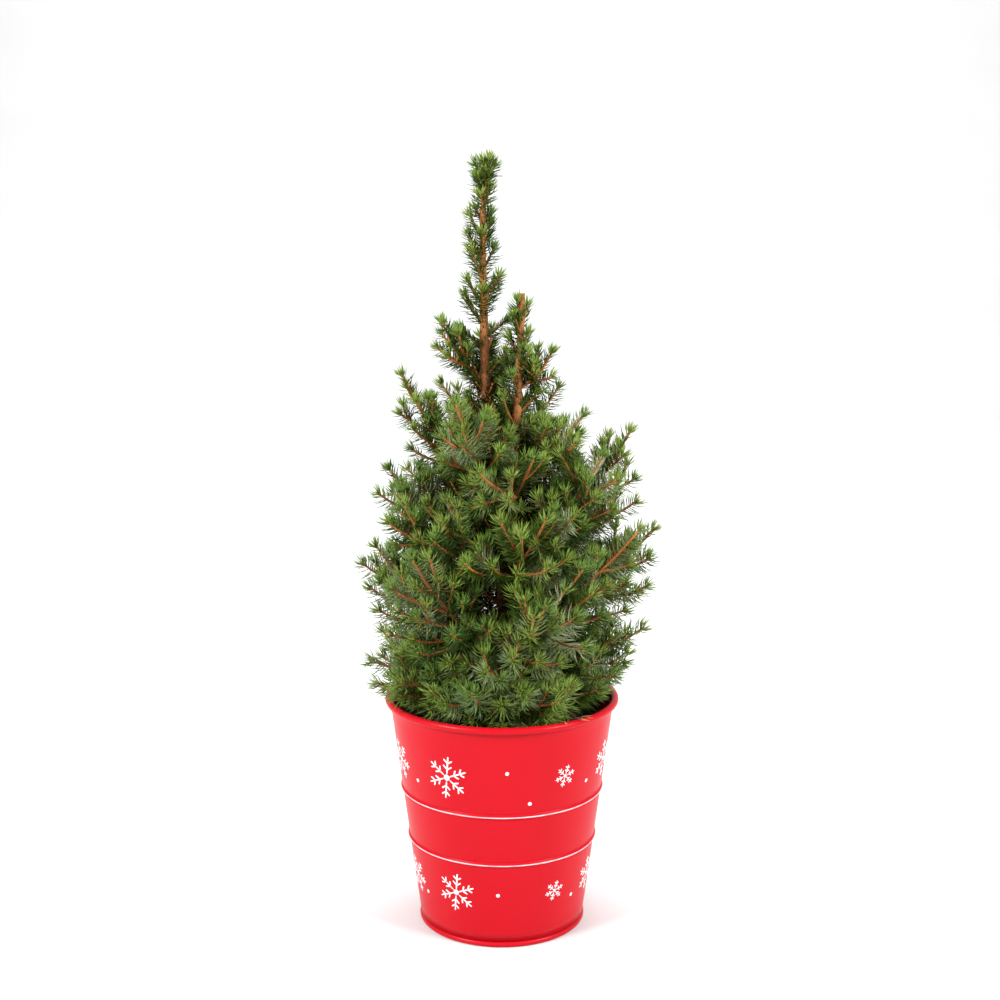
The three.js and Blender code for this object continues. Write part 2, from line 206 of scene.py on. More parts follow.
def mesh_piece(name, shape, materials, slots=None, smooth=True):
    """A mesh object from a shape: an array of points, and arrays of faces of 3 or 4 corners."""
    verts, faces = shape
    groups = faces if isinstance(faces, list) else [faces]
    loops = np.concatenate([g.ravel() for g in groups]).astype(np.int32)
    totals = np.concatenate([np.full(len(g), g.shape[1]) for g in groups]).astype(np.int32)
    starts = np.concatenate([[0], np.cumsum(totals)[:-1]]).astype(np.int32)
    mesh = bpy.data.meshes.new(name)
    mesh.vertices.add(len(verts))
    mesh.vertices.foreach_set("co", np.asarray(verts, np.float32).ravel())
    mesh.loops.add(len(loops))
    mesh.loops.foreach_set("vertex_index", loops)
    mesh.polygons.add(len(totals))
    mesh.polygons.foreach_set("loop_start", starts)
    for material in materials:
        mesh.materials.append(material)
    if slots is not None:
        mesh.polygons.foreach_set("material_index", np.asarray(slots, np.int32))
    mesh.update(calc_edges=True)
    mesh.validate()
    if smooth:
        mesh.shade_smooth()
    return placed(name, mesh)


def grid_faces(rows, columns, closed_rows=False):
    """Quads of a grid whose columns close on themselves."""
    r = np.arange(rows if closed_rows else rows - 1)[:, None]
    c = np.arange(columns)[None, :]
    nxt = (c + 1) % columns
    below = r * columns
    above = ((r + 1) % rows) * columns
    quads = np.stack([below + c, below + nxt, above + nxt, above + c], axis=-1)
    return quads.reshape(-1, 4)


def lathe_points(profile, segments):
    """Points of a profile of (radius, height) in millimetres, turned about the Z axis."""
    turn = round_turns(segments)
    radius, height = np.asarray(profile, float).T * MM
    x = radius[:, None] * np.cos(turn)
    y = radius[:, None] * np.sin(turn)
    z = np.broadcast_to(height[:, None], x.shape)
    return np.stack([x, y, z], axis=-1).reshape(-1, 3)


# --- reading the frame ---

pot_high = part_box("pot_body")[1]
base_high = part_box("pot_base")[1]
POT_TOP = pot_high.z / MM
RIM_RADIUS = pot_high.x / MM
FOOT_RADIUS = base_high.x / MM
FOOT_TOP = base_high.z / MM
BED_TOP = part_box("compost")[1].z / MM
ROLL = 2.0
WALL_FOOT = 45.3
WALL_FLARE = 0.132


def node_array(node, rows, field, width, kind):
    """One field of a frame node's corners or edges."""
    rows = getattr(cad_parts[node].data, rows)
    values = np.empty(len(rows) * width, kind)
    rows.foreach_get(field, values)
    return values.reshape(-1, width)


def node_points(node):
    return node_array(node, "vertices", "co", 3, np.float32).astype(float)


def slice_limb(points, edges, level, height):
    """The middle and mean radius of a limb where it crosses a level, or nothing."""
    a, b = level[edges[:, 0]], level[edges[:, 1]]
    cut = (a - height) * (b - height) < 0
    share = ((height - a[cut]) / (b[cut] - a[cut]))[:, None]
    ring = points[edges[cut, 0]] * (1 - share) + points[edges[cut, 1]] * share
    if len(ring) < 3:
        return []
    middle = (ring.min(0) + ring.max(0)) / 2
    return [(middle, np.linalg.norm(ring - middle, axis=1).mean())]


def sliced_limb(node, points, level, heights):
    edges, slices = node_array(node, "edges", "vertices", 2, np.int32), []
    for height in heights:
        slices += slice_limb(points, edges, level, height)
    middles, radii = zip(*slices)
    return np.array(middles), np.array(radii)


def centre_line(node, start, end, count):
    """Middles and radii of slices through a limb, from near one end to near the other."""
    points = node_points(node)
    heights = np.linspace(0.03, 0.97, count) * np.linalg.norm(end - start)
    return sliced_limb(node, points, (points - start) @ unit(end - start), heights)


def stem_line(node, count):
    """Middles and radii of level slices up a stem."""
    low, high = (np.array(corner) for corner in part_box(node))
    points = node_points(node)
    bottom = points[points[:, 2] < low[2] + 2 * MM].mean(0)
    top = points[points[:, 2] > high[2] - 1 * MM].mean(0)
    heights = np.linspace(low[2] + 0.4 * MM, high[2] - 0.4 * MM, count)
    middles, radii = sliced_limb(node, points, points[:, 2], heights)
    middles[0][:2] = bottom[:2]
    middles[-1][:2] = top[:2]
    return middles, radii


trunk_line, trunk_radii = stem_line("trunk", 60)
second_line, second_radii = stem_line("second_leader", 30)
BOUGH_NODES = sorted(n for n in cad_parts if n.endswith("_bough"))
MASS_NODES = sorted(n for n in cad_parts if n.endswith("_foliage"))


def point_at(line, height):
    """The point of a rising line at one height."""
    return point_along(line, line[:, 2], height)


def outward(point):
    """The level direction away from the trunk."""
    away = point - point_at(trunk_line, point[2])
    away[2] = 0
    return unit(away)


def bough_line(node):
    """A bough's middle line, from the stem it leaves to its cut end, and its radii."""
    points = node_points(node)
    stem = second_line if node in SECOND_LEADER_BOUGHS else trunk_line
    gap = np.array([np.linalg.norm(p[:2] - point_at(stem, p[2])[:2]) for p in points])
    start = points[gap.argsort()[:3]].mean(0)
    end = points[gap.argsort()[-4:]].mean(0)
    middles, radii = centre_line(node, start, end, 7)
    root = point_at(stem, middles[0][2] - 0.4 * (middles[1][2] - middles[0][2]))
    line = np.vstack([root, middles, end])
    return line, np.concatenate([[radii[0]], radii, [radii[-1] * 0.95]])


def crown_tree():
    """One search tree of all the masses, for telling where foliage may grow."""
    verts, faces, base = [], [], 0
    for node in MASS_NODES:
        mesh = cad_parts[node].data
        verts += [tuple(v.co) for v in mesh.vertices]
        faces += [tuple(base + i for i in p.vertices) for p in mesh.polygons]
        base += len(mesh.vertices)
    return BVHTree.FromPolygons(verts, faces)


crown = crown_tree()


def depth_in_crown(point):
    """How deep a point lies in the masses. It is less than nothing outside them."""
    place, normal, _, distance = crown.find_nearest(Vector(point))
    inside = (Vector(point) - place).dot(normal) < 0
    return distance if inside else -distance


def clear_of_pot(point, spare=2.2 * MM):
    """Whether a point is above the compost and away from the pot's wall and rim."""
    reach = math.hypot(point[0], point[1])
    if point[2] > POT_TOP * MM + spare:
        return True
    if reach > RIM_RADIUS * MM + spare:
        return True
    return reach < (RIM_RADIUS - 2 * ROLL) * MM - spare and point[2] > BED_TOP * MM + spare


def outer_points(node):
    """The corners and facet middles of a mass, each with the way the mass faces there."""
    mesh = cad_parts[node].data
    corners = [(np.array(v.co), np.array(v.normal)) for v in mesh.vertices]
    middles = [(np.array(p.center), np.array(p.normal)) for p in mesh.polygons]
    return corners + middles


def near(point, others, gap):
    return any(np.linalg.norm(point - other) < gap * MM for other in others)


def mass_tips(node, heart, taken):
    """Where the shoots of a mass end: points spread over the part of it that sees the sky."""
    found = []
    for point, normal in outer_points(node):
        away = point - heart
        far = np.linalg.norm(away)
        faces_out = float(normal @ away) / far > 0.2 and float(away @ outward(heart)) > -0.15 * far
        open_sky = depth_in_crown(point + normal * 5 * MM) < -1 * MM
        if faces_out and open_sky and far > 14 * MM and normal[2] > LEAST_RISE:
            found.append((far, point))
    found.sort(key=lambda item: -item[0])
    tips = []
    for _, point in found:
        crowded = near(point, tips, TIP_SPACING) or near(point, taken, 0.7 * TIP_SPACING)
        if not crowded and len(tips) < TIPS_PER_MASS:
            tips.append(point)
    taken += tips
    return tips


def meets_mass(point, way):
    return crown.ray_cast(Vector(point), Vector(way), GAP_REACH * MM)[0] is not None


def sheltered(point):
    """Whether a point lies in a gap of the crown, with foliage to both sides of it."""
    side = np.cross(UP, outward(point))
    if meets_mass(point, side) and meets_mass(point, -side):
        return True
    low = point[2] < (POT_TOP + SKIRT_TOP) * MM
    return meets_mass(point, UP) and (low or meets_mass(point, -UP))


def in_crown(point):
    if not clear_of_pot(point):
        return False
    return depth_in_crown(point) > -CROWN_SLACK * MM or sheltered(point)


def room(start, way, limit):
    """How far a shoot may run from here before it leaves the crown."""
    run, step = 0.0, ROOM_STEP * MM
    while run < limit and in_crown(start + way * (run + step)):
        run += step
    return run


# --- growing ---


class Shoot:
    """One twig: its middle line, its radii and how its needles are laid."""

    def __init__(self, line, thick, thin, bare=0.0, inner=False, density=1.0, leafy=1.0):
        self.line = np.asarray(line, float)
        self.radii = np.linspace(thick, thin, len(self.line))
        self.bare, self.inner, self.density, self.leafy = bare, inner, density, leafy

    def lengths(self):
        return run_along(self.line)

    def at(self, run):
        return point_along(self.line, self.lengths(), run)

    def heading(self, run):
        ahead = self.at(min(run + 1.5 * MM, self.lengths()[-1]))
        return unit(ahead - self.at(max(run - 1.5 * MM, 0)))


def bent_line(start, way, length, rise, rng):
    """A shoot that sets off one way and bends upward as it grows."""
    points, step = [start], length / BENDS
    for _ in range(BENDS):
        way = unit(way + UP * rise / BENDS + rng.normal(0, WANDER, 3))
        points.append(points[-1] + way * step)
    return np.array(points)


def bezier(a, b, c, count):
    t = np.linspace(0, 1, count)[:, None]
    return (1 - t) ** 2 * a + 2 * (1 - t) * t * b + t**2 * c


def climbing_line(start, ahead, goal):
    """A shoot that leaves one way and ends climbing outward to its tip."""
    reach = np.linalg.norm(goal - start)
    straight = (goal - start) / reach
    climb = unit(CLIMB_OUT * outward(goal) + UP)
    low = goal[2] < (POT_TOP + SKIRT_TOP) * MM
    last = unit(straight + (0.3 if low else 0.75) * climb)
    a, b = start + ahead * reach * 0.24, goal - last * reach * 0.34
    t = np.linspace(0, 1, 14)[:, None]
    near = (1 - t) ** 3 * start + 3 * (1 - t) ** 2 * t * a
    return near + 3 * (1 - t) * t**2 * b + t**3 * goal


def side_shoots(parent, size, rng, first=0.12, last=0.72):
    """Shoots in a spiral round a parent, longest low down, ended by the crown's edge."""
    total = parent.lengths()[-1]
    made, turn = [], rng.uniform(0, 2 * math.pi)
    run = first * total
    while run < last * total:
        share = run / total
        heading, start = parent.heading(run), parent.at(run)
        aside, over = across(heading)
        radial = math.cos(turn) * aside + math.sin(turn) * over
        lean = math.radians(rng.uniform(32, 44))
        way = unit(math.cos(lean) * heading + math.sin(lean) * radial)
        wanted = (SIDE_LONGEST + (SIDE_SHORTEST - SIDE_LONGEST) * share) * size * MM
        wanted *= rng.uniform(0.75, 1.15) * (0.7 + 0.3 * abs(math.cos(turn)))
        turn += GOLDEN + rng.normal(0, 0.25)
        run += SIDE_SPACING * MM * rng.uniform(0.7, 1.3)
        facing = float(way @ outward(start))
        toward_stem = facing < -0.25
        if facing > FACE_ON and start[2] > (POT_TOP + SKIRT_TOP) * MM:
            continue
        if toward_stem:
            wanted *= 0.55
        inside = in_crown(start)
        reach = wanted + NEEDLE_REACH * MM
        limit = room(start, way, reach) - NEEDLE_REACH * MM if inside else wanted * 0.5
        length = min(wanted, limit)
        if length < 6 * MM:
            continue
        line = bent_line(start, way, length, 0.6, rng)
        thick = min(TWIG_RADIUS * MM, 0.5 * MM + length * 0.012)
        deep = depth_in_crown(line[-1]) > DEEP * MM
        made.append(Shoot(line, thick, TWIG_TIP_RADIUS * MM, inner=toward_stem or deep))
    return made


def fork_start(parent, tip):
    """Where on a parent a shoot forks off to reach a tip at the plant's own fork angle."""
    along = parent.lengths()
    gaps = np.linalg.norm(parent.line - tip, axis=1)
    nearest = along[gaps.argmin()]
    back = gaps.min() / math.tan(math.radians(FORK_ANGLE))
    return max(nearest - back, 0.18 * along[-1])


def grow_mass(name, rng, taken):
    """The branches and shoots of one mass, grown on from its bough."""
    line, radii = bough_line(f"{name}_bough")
    size = TIER_SIZE[name.split("_")[0]]
    end, way = line[-1], unit(line[-1] - line[-3])
    tips = mass_tips(f"{name}_foliage", end, taken)
    shoots, parent = [], None
    for tip in tips:
        start, heading, share = end, way, 1.0
        if parent is not None:
            run = fork_start(parent, tip)
            start, heading, share = parent.at(run), parent.heading(run), FORK_SHARE
        goal = tip - unit(tip - start) * TIP_INSET * MM
        ahead = unit(0.35 * heading + 0.65 * unit(goal - start) - 0.06 * UP)
        path = climbing_line(start, ahead, goal)
        axis = Shoot(path, AXIS_RADIUS * MM * share, TWIG_TIP_RADIUS * MM * 1.2, bare=0.06)
        shoots.append(axis)
        shoots += side_shoots(axis, size, rng)
        if parent is None:
            parent = Shoot(np.vstack([line[1:], axis.line[1:]]), 1, 1)
    bough = Shoot(line, radii[0], radii[-1], bare=0.35, inner=True, density=0.45)
    grown = side_shoots(bough, size * 1.2, rng, first=0.3, last=0.98)
    for shoot in grown:
        shoot.inner = True
    return shoots + grown, bough


def stem_sprigs(line, low, high, spacing, longest, shortest, rng):
    """Short tufted shoots up a leader, closer to it and to each other near its tip."""
    made, turn, height = [], rng.uniform(0, 6), low
    while height < high:
        share = (height - low) / (high - low)
        start = point_at(line, height * MM)
        radial = unit(compass(turn) * SPRIG_SPREAD)
        angle = math.radians(rng.uniform(38, 50) - 24 * share**2)
        way = unit(math.cos(angle) * UP + math.sin(angle) * radial)
        length = (longest + (shortest - longest) * share) * rng.uniform(0.75, 1.2) * MM
        path = bent_line(start, way, length, 0.3, rng)
        made.append(Shoot(path, 0.75 * MM, TWIG_TIP_RADIUS * MM, bare=0.08, density=SPRIG_DENSITY))
        turn += GOLDEN + rng.normal(0, 0.2)
        height += spacing * rng.uniform(0.7, 1.3) * (1 - 0.35 * share)
    return made


def skirt_shoots(rng):
    """Low shoots from the foot of the trunk, which spread over the compost to the rim."""
    made = []
    for k in range(SKIRT_SHOOTS):
        heading = 2 * math.pi * (k + rng.uniform(-0.2, 0.2)) / SKIRT_SHOOTS
        radial = compass(heading)
        start = point_at(trunk_line, rng.uniform(*SKIRT_START) * MM)
        reaches, rises = SKIRT_RINGS[k % 2]
        reach = rng.uniform(*reaches) * MM
        goal = radial * reach + UP * rng.uniform(*rises) * MM
        bow = start + radial * reach * 0.55 - UP * 1 * MM
        axis = Shoot(bezier(start, bow, goal, 14), 1.1 * MM, 0.55 * MM, bare=0.25, leafy=1.08)
        made.append(axis)
        made += side_shoots(axis, 0.8, rng, first=0.4, last=0.85)
    return made


def leader_needles(line, low, high):
    """The stretch of a leader that carries needles on its own bark."""
    held = line[(line[:, 2] > low * MM) & (line[:, 2] < high * MM)]
    return Shoot(held, 1 * MM, 1 * MM, density=LEADER_DENSITY, leafy=0.9)


def core_shoots(rng):
    """Short dark shoots that fill the middle of the crown round the trunk."""
    made, turn, height = [], 1.0, CORE_FOOT
    while height < CORE_TOP:
        start = point_at(trunk_line, height * MM)
        radial = compass(turn)
        way = unit(radial + UP * rng.uniform(0.15, 0.9))
        length = min(rng.uniform(26, 44) * MM, (CORE_TIP - height) * 0.42 * MM)
        if radial[1] > 0.6 and height < BACK_FILL_TOP:
            length *= 1.45
        path = bent_line(start, way, length, 0.5, rng)
        made.append(Shoot(path, 0.9 * MM, TWIG_TIP_RADIUS * MM, bare=0.15, inner=True, density=0.8))
        turn += GOLDEN
        height += rng.uniform(0.9, 1.6)
    return made


def grow_plant():
    rng = dice(0)
    shoots, boughs, taken = [], [], []
    for node in BOUGH_NODES:
        grown, bough = grow_mass(node.replace("_bough", ""), rng, taken)
        shoots += grown
        boughs.append(bough)
    shoots += skirt_shoots(rng)
    for run in TRUNK_SPRIGS:
        shoots += stem_sprigs(trunk_line, *run, rng)
    shoots += stem_sprigs(second_line, *SECOND_SPRIGS, rng)
    shoots += core_shoots(rng)
    leaders = [leader_needles(trunk_line, *TRUNK_NEEDLES)]
    leaders.append(leader_needles(second_line, *SECOND_NEEDLES))
    return shoots, boughs, leaders


# --- needles ---

def needle_kind(shoot, rng):
    """Which green a spray of needles takes, from where it stands in the crown."""
    middle = shoot.line[len(shoot.line) // 2]
    # Shoots deep in the crown or facing the stem take the near-black greens: painted shade, on top
    # of the darker tone of older inner needles.
    if shoot.inner:
        return "inner"
    low = middle[2] < LOW_CROWN
    side = abs(middle[0]) > CROWN_SIDE
    # Low sprays, most of all those on the left and right sides, often turn whitish green: partly
    # the needles' real waxy bloom, partly painted sheen.
    chance = 0.5 if low and side else 0.2 if low else 0.1
    if middle[2] > CROWN_TOP:
        return "summer"
    if rng.random() < chance:
        return "silvered"
    return "light" if rng.random() < 0.3 else "summer"


def parted(radial, heading, sky, share):
    """Needles part along the side of a shoot that faces out of the crown, and bare its bark."""
    sky = sky + 0.6 * UP
    sky = unit(sky - heading * (heading @ sky)[:, None])
    facing = np.sum(radial * sky, axis=1)
    sideways = radial - sky * facing[:, None]
    push = np.clip(facing + 0.15, 0, 1) * share
    return unit(radial - sky * (facing * push)[:, None] + unit(sideways) * push[:, None])


def lay_needles(shoot, store, rng):
    """Needles in a spiral along a shoot, closing into a star at its tip."""
    total = shoot.lengths()[-1]
    first = shoot.bare * total
    count = int((total - first) / MM * NEEDLES_PER_MM * shoot.density)
    if count < 3:
        return
    star = 0 if shoot.inner else STAR_NEEDLES
    share = (np.arange(count) + rng.uniform(0, 1, count)) / count
    run = first + (total - first) * share
    run = np.concatenate([run, total - rng.uniform(0, 1.8, star) * MM])
    count += star
    along = shoot.lengths()
    root = point_along(shoot.line, along, run)
    ahead = point_along(shoot.line, along, run + 1 * MM)
    heading = unit(ahead - point_along(shoot.line, along, run - 1 * MM))
    aside, over = across(heading)
    turn = np.arange(count) * GOLDEN + rng.normal(0, 0.3, count)
    radial = np.cos(turn)[:, None] * aside + np.sin(turn)[:, None] * over
    near_tip = np.clip((run - (total - TIP_STRETCH * MM)) / (TIP_STRETCH * MM), 0, 1)
    radial = parted(radial, heading, outward(shoot.line[0]), PARTING * (1 - near_tip))
    lean = NEEDLE_LEAN - TIP_CLOSING * near_tip**1.5 + rng.normal(0, LEAN_SCATTER, count)
    lean = np.radians(lean)[:, None]
    way = unit(np.cos(lean) * heading + np.sin(lean) * radial + 0.05 * UP)
    grown = np.interp(root[:, 2], *GROWN_BY_HEIGHT)
    length = NEEDLE_LENGTH * MM * grown * rng.uniform(0.82, 1.12, count) * (1 - 0.25 * near_tip)
    length *= np.clip(0.72 + (run - first) / (8 * MM), 0, 1) * shoot.leafy
    width = NEEDLE_WIDTH * MM * rng.uniform(0.85, 1.1, count)
    hook = np.interp(root[:, 2], *HOOK_BY_HEIGHT) * rng.uniform(0.2, 1, count)
    bow = unit(radial - heading * 0.3) * (length * hook)[:, None]
    kind = needle_kind(shoot, rng)
    tone = rng.integers(0, 3)
    tip = root + way * length[:, None]
    pairs = zip(tip, (root + tip) / 2)
    clear = np.array([all(clear_of_pot(p, NEEDLE_CLEAR * MM) for p in pair) for pair in pairs])
    root, way, bow, length, width, run = (a[clear] for a in (root, way, bow, length, width, run))
    fresh_end = rng.uniform(3.0, 5.5) * (0.6 if root[0, 2] > CROWN_TOP else 1.0) * MM
    fresh = (total - run < fresh_end) & (kind != "inner")
    for name, pick in ((kind, ~fresh), ("young", fresh)):
        if pick.any():
            rows = [a[pick] for a in (root, way, bow, length, width)]
            store[name].append((*rows, np.full(pick.sum(), tone)))


def needle_mesh(rows):
    """Three-sided needles with a keel below, widest at a third and drawn out to a point."""
    root, way, bow, length, width, tone = (np.concatenate([r[k] for r in rows]) for k in range(6))
    flat = unit(np.cross(way, UP + np.array([0.05, 0.02, 0.0])))
    keel = np.cross(flat, way)
    keel = np.where(keel[:, 2:] > 0, -keel, keel)
    shape = ((0.0, 0.34, 0.0), (0.42, 0.5, 1.0), (1.0, 0.0, 0.0))
    rings = []
    for share, half, bowed in shape:
        middle = root + way * (length * share)[:, None] + bow * bowed
        side = flat * (width * half)[:, None]
        if half:
            rings += [middle + side, middle - side, middle + keel * (width * half * 1.1)[:, None]]
        else:
            rings.append(middle)
    verts = np.stack(rings, axis=1)
    base = (np.arange(len(root)) * 7)[:, None, None]
    pattern = []
    for a, b in ((0, 1), (1, 2), (2, 0)):
        pattern += [(a, b, b + 3), (a, b + 3, a + 3), (a + 3, b + 3, 6)]
    faces = (base + np.array(pattern)[None]).reshape(-1, 3)
    return verts.reshape(-1, 3), faces, np.repeat(tone, len(pattern))


# --- twigs, boughs and bark ---


def tube(line, radii, sides, relief=None):
    """Points of a round tube along a line. Relief changes its radius by place and angle."""
    line = np.asarray(line, float)
    heading = unit(np.gradient(line, axis=0))
    aside = np.empty_like(line)
    side = across(heading[0])[0]
    for i, way in enumerate(heading):
        side = unit(side - way * (side @ way))
        aside[i] = side
    over = np.cross(heading, aside)
    turn = round_turns(sides)
    radius = np.broadcast_to(np.asarray(radii)[:, None], (len(line), sides)).copy()
    if relief is not None:
        radius += relief(run_along(line)[:, None], turn[None, :], radius)
    cos, sin = np.cos(turn)[None, :, None], np.sin(turn)[None, :, None]
    points = line[:, None] + (cos * aside[:, None] + sin * over[:, None]) * radius[..., None]
    return points.reshape(-1, 3)


def smooth_line(line, radii, step):
    """The same line with even, closer points."""
    along = run_along(line)
    count = max(4, int(along[-1] / step))
    new = np.linspace(0, along[-1], count)
    points = point_along(line, along, new)
    width = max(1, int(5 * MM / step))
    kernel = np.ones(2 * width + 1) / (2 * width + 1)
    padded = np.pad(points, ((width, width), (0, 0)), mode="reflect", reflect_type="odd")
    points = np.stack([np.convolve(padded[:, k], kernel, "valid") for k in range(3)], axis=1)
    return points, np.interp(new, along, radii)


def bark_relief(depth, rng):
    """Long ridges that wander, with the pegs that old needles stood on."""
    phases = rng.uniform(0, 6, 6)

    def relief(along, turn, radius):
        run = along / MM
        ridges = np.sin(7 * turn + 0.35 * run + phases[0] + np.sin(run * 0.21 + phases[1]))
        ridges += 0.6 * np.sin(11 * turn - 0.5 * run + phases[2])
        ridges += 0.7 * np.sin(1.7 * run + 3 * turn + phases[3]) * np.sin(0.9 * run + phases[4])
        pegs = np.clip(np.cos(4 * turn + 2.1 * run) * np.cos(2.9 * run - 2 * turn), 0, 1) ** 3
        swell = 0.5 * np.sin(0.31 * run + phases[5])
        return (ridges * 0.35 + pegs * 1.6 + swell) * depth * np.clip(radius / (2 * MM), 0.35, 1)

    return relief


def joined_tubes(parts):
    """Points and faces of many capped tubes, each an array of points and a number of sides."""
    verts, quads, caps, base = [], [], [], 0
    for points, sides in parts:
        rows = len(points) // sides
        verts.append(points)
        quads.append(grid_faces(rows, sides) + base)
        last = base + (rows - 1) * sides
        caps.append(np.array([(last, last + k, last + k + 1) for k in range(1, sides - 1)]))
        base += len(points)
    return np.concatenate(verts), [np.concatenate(quads), np.concatenate(caps)]


def twig_parts(shoots):
    parts = []
    for shoot in shoots:
        sides = 6 if shoot.radii[0] > 0.95 * MM else 4
        parts.append((tube(shoot.line, shoot.radii, sides), sides))
    return parts


def bud_mesh(shoots):
    """A small pointed bud at the end of every shoot."""
    ring = round_turns(5)
    verts, faces = [], []
    for shoot in shoots:
        end, way = shoot.line[-1], unit(shoot.line[-1] - shoot.line[-2])
        aside, over = across(way)
        base = len(verts) * 11
        circle = np.cos(ring)[:, None] * aside + np.sin(ring)[:, None] * over
        rows = [end + circle * 0.5 * MM, end + way * 0.9 * MM + circle * 0.62 * MM]
        verts.append(np.vstack(rows + [[end + way * 2.3 * MM]]))
        for k in range(5):
            n = (k + 1) % 5
            faces += [(base + k, base + n, base + 5 + n), (base + k, base + 5 + n, base + 5 + k)]
            faces.append((base + 5 + k, base + 5 + n, base + 10))
    return np.concatenate(verts), np.array(faces)


def fallen_needles(rng):
    """Dry needles that lie on the compost, and a few caught across the front of the rim."""
    bed, rim = FALLEN_NEEDLES, RIM_NEEDLES
    turn = rng.uniform(0, 2 * math.pi, bed)
    reach = 54 * np.sqrt(rng.uniform(0.05, 1, bed))
    level = np.full(bed, BED_TOP + 0.5) - 2.2 * (reach / BED_RADIUS) ** 3
    root = np.stack([reach * np.cos(turn), reach * np.sin(turn), level], axis=1)
    way = [rng.normal(0, 1, bed), rng.normal(0, 1, bed), rng.uniform(0, 0.2, bed)]
    way = np.stack(way, axis=1)
    rim_turn = np.radians(rng.uniform(-62, -38, rim))
    out = np.stack([np.cos(rim_turn), np.sin(rim_turn), np.zeros(rim)], axis=1)
    rim_root = out * (RIM_RADIUS - 4) + UP * (POT_TOP + 0.1)
    rim_way = unit(out + rng.normal(0, 0.45, (rim, 3)))
    rim_way[:, 2] = rng.uniform(0.02, 0.12, rim)
    root = np.concatenate([root, rim_root]) * MM
    way = unit(np.concatenate([way, rim_way]))
    count = len(root)
    bow = -UP * rng.uniform(-0.3, 0.6, count)[:, None] * MM
    length, width = rng.uniform(6, 9, count) * MM, np.full(count, 0.7 * MM)
    return [(root, way, bow, length, width, np.zeros(count, int))]


# --- pot ---


def wall_radius(height):
    """The sheet's outer radius at a height, with its two pressed beads."""
    height = np.asarray(height, float)
    radius = WALL_FOOT + WALL_FLARE * height
    for bead in BEADS:
        off = np.abs(height - bead) / BEAD_HALF
        swell = BEAD_PROUD * (0.5 + 0.5 * np.cos(math.pi * off)) ** 0.8
        radius = radius + np.where(off < 1, swell, 0)
        groove = np.abs(height - bead) - BEAD_HALF
        radius = radius - 0.18 * np.exp(-((groove / 0.5) ** 2))
    return radius


def pot_profile():
    """The wall's outside, the rolled rim and the inside, as one closed outline."""
    fine = [np.linspace(b - 3, b + 3, 31) for b in BEADS]
    heights = np.unique(np.concatenate([np.linspace(FOOT_TOP + 0.2, POT_TOP - 5, 24), *fine]))
    outside = [(float(wall_radius(z)), z) for z in heights]
    middle_r, middle_z = RIM_RADIUS - ROLL, POT_TOP - ROLL
    turns = np.radians(np.linspace(-118, 172, 22))
    roll = [(middle_r + ROLL * math.cos(a), middle_z + ROLL * math.sin(a)) for a in turns]
    neck = [(float(wall_radius(POT_TOP - 5)) + 0.25, POT_TOP - 4.4)]
    inside = [(r - SHEET, z) for r, z in reversed(outside)]
    return outside + neck + roll + inside


def foot_profile():
    """The rolled foot that crimps the floor of the pot to its wall."""
    outer, top = FOOT_RADIUS, FOOT_TOP
    turns = np.radians(np.linspace(-80, 75, 12))
    half = top / 2
    roll = [(outer - 1.4 + 1.4 * math.cos(a), half + half * math.sin(a) * 0.98) for a in turns]
    flat = [(0.01, 0.0), (outer - 8, 0.0), (outer - 2.2, 0.0)]
    back = [(outer - 2.4, top - 0.2), (outer - 3.0, 1.2), (outer - 6, 1.0), (0.01, 1.0)]
    return flat + roll + back


def turned_piece(name, profile, material, closed):
    shape = lathe_points(profile, POT_SEGMENTS), grid_faces(len(profile), POT_SEGMENTS, closed)
    return mesh_piece(name, shape, [material])


def on_wall(across_mm, up_mm, heading, height, lift):
    """Wraps a flat drawing round the wall: heading 0 is the front, plus is to the right."""
    z = height + up_mm
    radius = wall_radius(z) + lift
    turn = math.radians(heading) + across_mm / (WALL_FOOT + WALL_FLARE * height)
    return np.stack([radius * np.sin(turn), -radius * np.cos(turn), z], axis=-1) * MM


def bar_outline(a, b, width):
    """A round-ended bar as a closed ring of points, with a middle row to bend round the wall."""
    a, b = np.array(a, float), np.array(b, float)
    way = (b - a) / np.linalg.norm(b - a)
    side = np.array([-way[1], way[0]])
    turns = np.linspace(-math.pi / 2, math.pi / 2, 5)
    bends = [(way * math.cos(t) * width / 2, side * math.sin(t) * width / 2) for t in turns]
    near = [a - ahead - aside for ahead, aside in bends]
    far = [b + ahead + aside for ahead, aside in bends]
    steps = np.linspace(0, 1, 5)[1:-1]
    right = [a + (b - a) * s - side * width / 2 for s in steps]
    left = [b + (a - b) * s + side * width / 2 for s in steps]
    return np.array(near[::-1] + right + far + left)


def flake_bars(size, tilt):
    """A plain six-armed star: each arm carries two pairs of barbs."""
    bars = []
    line = 0.22 + size * 0.025
    for k in range(6):
        turn = math.radians(60 * k + 30 + tilt)
        way = compass(turn)[:2]
        bars.append(((0, 0), way * size / 2, line))
        for share, barb in ((0.4, 0.125), (0.7, 0.12)):
            knee = way * size / 2 * share
            for lean in (-50, 50):
                tip = knee + compass(turn + math.radians(lean))[:2] * size * barb
                bars.append((knee, tip, line))
    return bars


def disc(radius):
    ring = round_turns(12)
    return np.stack([np.cos(ring), np.sin(ring)], axis=1) * radius


def print_shapes():
    """(outline, heading, height) of everything printed on the pot."""
    shapes = []
    for band, scale, dots in ((UPPER_BAND, 1.0, UPPER_DOTS), (LOWER_BAND, 0.93, LOWER_DOTS)):
        for heading, size, tilt in FLAKES:
            for a, b, width in flake_bars(size * scale, tilt):
                shapes.append((bar_outline(a, b, width), heading, band))
            shapes.append((disc(size * scale * HUB_SHARE), heading, band))
        for heading, rise in dots:
            shapes.append((disc(DOT_RADIUS), heading, band + rise * scale))
    return shapes


